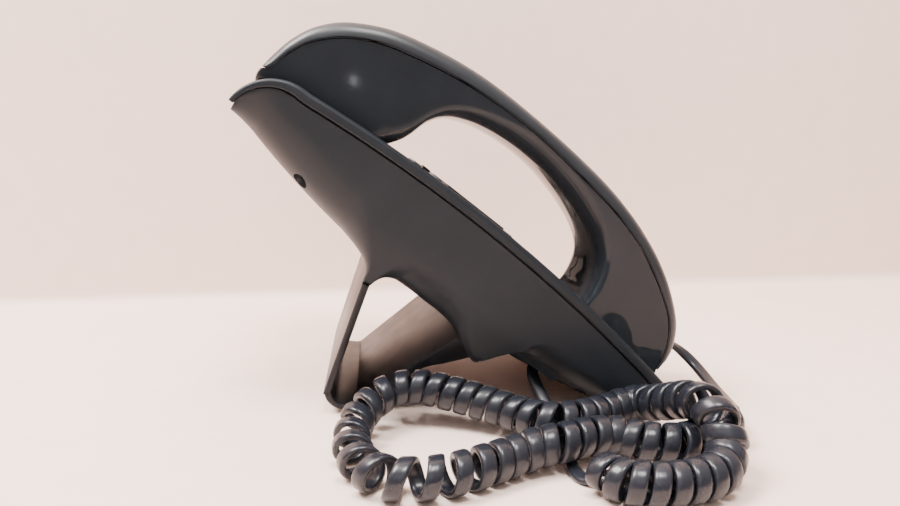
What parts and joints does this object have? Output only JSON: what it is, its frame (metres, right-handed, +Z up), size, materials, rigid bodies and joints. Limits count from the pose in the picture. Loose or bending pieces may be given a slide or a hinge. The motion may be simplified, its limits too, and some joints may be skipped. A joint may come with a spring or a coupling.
{
  "type": "corded desk telephone",
  "caption": "Corded desk telephone with a handset resting in wells on a sloping body, a key and display lane, a bent strap stand and a curly handset cord.",
  "frame": {"origin": "on the table under the middle of the telephone without its free cord", "axes": "+Z up, -Y toward the person using the telephone, +X toward that person's right; the handset lies on the -X side"},
  "size_m": [0.209, 0.1982, 0.1592],
  "materials": {
    "housing": "fine sparked texture, dark grey",
    "handset_outer": "fine sparked texture, dark grey",
    "handset_inner": "smooth gloss, dark blue-grey",
    "stand": "satin, dark grey",
    "feet": "matt black rubber",
    "window": "clear gloss over black",
    "display": "grey-green liquid crystal panel",
    "mat": "milky silicone",
    "board": "green solder mask",
    "metal": "plain steel",
    "black": "black moulding",
    "lamp": "tinted lens",
    "key": "satin, mid grey",
    "cord": "semi-gloss slate jacket",
    "plug": "clear smoked moulding",
    "weight": "plain block"
  },
  "bodies": {
    "base": {"front_housing": "housing", "rear_housing": "housing", "stand": "stand", "stand_feet": "feet", "base_feet": "feet", "display_window": "window", "display_module": "display", "keypad_mat": "mat", "main_board": "board", "jack_board": "board", "network_jacks": "metal", "power_jack": "black", "handset_jack": "black", "loudspeaker": "black", "microphone": "metal", "hook_microswitch": "black", "message_lamp": "lamp", "wall_tab": "housing", "housing_screws": "metal", "board_screws": "metal", "cord_coil": "cord", "cord_handset_tail": "cord", "cord_base_tail": "cord", "base_plug": "plug"},
    "handset": {"handset_cover": "handset_outer", "handset_shell": "handset_inner", "earpiece": "black", "mouth_microphone": "metal", "handset_weight": "weight", "handset_socket": "black", "handset_screws": "metal", "handset_plug": "plug"},
    "hook": {"hook_plunger": "black"},
    "key_1_body": {"key_1": "key"},
    "key_2_body": {"key_2": "key"},
    "key_3_body": {"key_3": "key"},
    "key_4_body": {"key_4": "key"},
    "key_5_body": {"key_5": "key"},
    "key_6_body": {"key_6": "key"},
    "key_7_body": {"key_7": "key"},
    "key_8_body": {"key_8": "key"},
    "key_9_body": {"key_9": "key"},
    "key_star_body": {"key_star": "key"},
    "key_0_body": {"key_0": "key"},
    "key_hash_body": {"key_hash": "key"},
    "soft_key_1_body": {"soft_key_1": "key"},
    "soft_key_2_body": {"soft_key_2": "key"},
    "soft_key_3_body": {"soft_key_3": "key"},
    "soft_key_4_body": {"soft_key_4": "key"},
    "ok_key_body": {"ok_key": "key"},
    "speaker_key_body": {"speaker_key": "key"},
    "mute_key_body": {"mute_key": "key"},
    "scroll_body": {"scroll_rocker": "key"},
    "volume_body": {"volume_rocker": "key"}
  },
  "joints": [
    {"name": "handset_lift", "type": "slide", "parent": "base", "child": "handset", "axis": [0, -0.6246, 0.781], "range_m": [0, 0.045]},
    {"name": "hook_travel", "type": "slide", "parent": "base", "child": "hook", "axis": [0, -0.6246, 0.781], "range_m": [0, 0.004]},
    {"name": "key_1_press", "type": "slide", "parent": "base", "child": "key_1_body", "axis": [0, -0.6246, 0.781], "range_m": [-0.0012, 0], "stiffness_N_per_m": 500, "springref_m": 0.0005},
    {"name": "key_2_press", "type": "slide", "parent": "base", "child": "key_2_body", "axis": [0, -0.6246, 0.781], "range_m": [-0.0012, 0], "stiffness_N_per_m": 500, "springref_m": 0.0005},
    {"name": "key_3_press", "type": "slide", "parent": "base", "child": "key_3_body", "axis": [0, -0.6246, 0.781], "range_m": [-0.0012, 0], "stiffness_N_per_m": 500, "springref_m": 0.0005},
    {"name": "key_4_press", "type": "slide", "parent": "base", "child": "key_4_body", "axis": [0, -0.6246, 0.781], "range_m": [-0.0012, 0], "stiffness_N_per_m": 500, "springref_m": 0.0005},
    {"name": "key_5_press", "type": "slide", "parent": "base", "child": "key_5_body", "axis": [0, -0.6246, 0.781], "range_m": [-0.0012, 0], "stiffness_N_per_m": 500, "springref_m": 0.0005},
    {"name": "key_6_press", "type": "slide", "parent": "base", "child": "key_6_body", "axis": [0, -0.6246, 0.781], "range_m": [-0.0012, 0], "stiffness_N_per_m": 500, "springref_m": 0.0005},
    {"name": "key_7_press", "type": "slide", "parent": "base", "child": "key_7_body", "axis": [0, -0.6246, 0.781], "range_m": [-0.0012, 0], "stiffness_N_per_m": 500, "springref_m": 0.0005},
    {"name": "key_8_press", "type": "slide", "parent": "base", "child": "key_8_body", "axis": [0, -0.6246, 0.781], "range_m": [-0.0012, 0], "stiffness_N_per_m": 500, "springref_m": 0.0005},
    {"name": "key_9_press", "type": "slide", "parent": "base", "child": "key_9_body", "axis": [0, -0.6246, 0.781], "range_m": [-0.0012, 0], "stiffness_N_per_m": 500, "springref_m": 0.0005},
    {"name": "key_star_press", "type": "slide", "parent": "base", "child": "key_star_body", "axis": [0, -0.6246, 0.781], "range_m": [-0.0012, 0], "stiffness_N_per_m": 500, "springref_m": 0.0005},
    {"name": "key_0_press", "type": "slide", "parent": "base", "child": "key_0_body", "axis": [0, -0.6246, 0.781], "range_m": [-0.0012, 0], "stiffness_N_per_m": 500, "springref_m": 0.0005},
    {"name": "key_hash_press", "type": "slide", "parent": "base", "child": "key_hash_body", "axis": [0, -0.6246, 0.781], "range_m": [-0.0012, 0], "stiffness_N_per_m": 500, "springref_m": 0.0005},
    {"name": "soft_key_1_press", "type": "slide", "parent": "base", "child": "soft_key_1_body", "axis": [0, -0.6246, 0.781], "range_m": [-0.0012, 0], "stiffness_N_per_m": 500, "springref_m": 0.0005},
    {"name": "soft_key_2_press", "type": "slide", "parent": "base", "child": "soft_key_2_body", "axis": [0, -0.6246, 0.781], "range_m": [-0.0012, 0], "stiffness_N_per_m": 500, "springref_m": 0.0005},
    {"name": "soft_key_3_press", "type": "slide", "parent": "base", "child": "soft_key_3_body", "axis": [0, -0.6246, 0.781], "range_m": [-0.0012, 0], "stiffness_N_per_m": 500, "springref_m": 0.0005},
    {"name": "soft_key_4_press", "type": "slide", "parent": "base", "child": "soft_key_4_body", "axis": [0, -0.6246, 0.781], "range_m": [-0.0012, 0], "stiffness_N_per_m": 500, "springref_m": 0.0005},
    {"name": "ok_key_press", "type": "slide", "parent": "base", "child": "ok_key_body", "axis": [0, -0.6246, 0.781], "range_m": [-0.0012, 0], "stiffness_N_per_m": 500, "springref_m": 0.0005},
    {"name": "speaker_key_press", "type": "slide", "parent": "base", "child": "speaker_key_body", "axis": [0, -0.6246, 0.781], "range_m": [-0.0012, 0], "stiffness_N_per_m": 500, "springref_m": 0.0005},
    {"name": "mute_key_press", "type": "slide", "parent": "base", "child": "mute_key_body", "axis": [0, -0.6246, 0.781], "range_m": [-0.0012, 0], "stiffness_N_per_m": 500, "springref_m": 0.0005},
    {"name": "scroll_rock", "type": "hinge", "parent": "base", "child": "scroll_body", "pos_m": [0.026, 0.0052, 0.08731], "axis": [1, 0, 0], "range_deg": [-3, 3], "stiffness_Nm_per_rad": 0.05},
    {"name": "volume_rock", "type": "hinge", "parent": "base", "child": "volume_body", "pos_m": [0.026, -0.05884, 0.02969], "axis": [0, -0.781, -0.6246], "range_deg": [-3, 3], "stiffness_Nm_per_rad": 0.05}
  ],
  "couplings": [
    {"joint": "hook_travel", "follows": "handset_lift", "ratio": 0.0888}
  ]
}
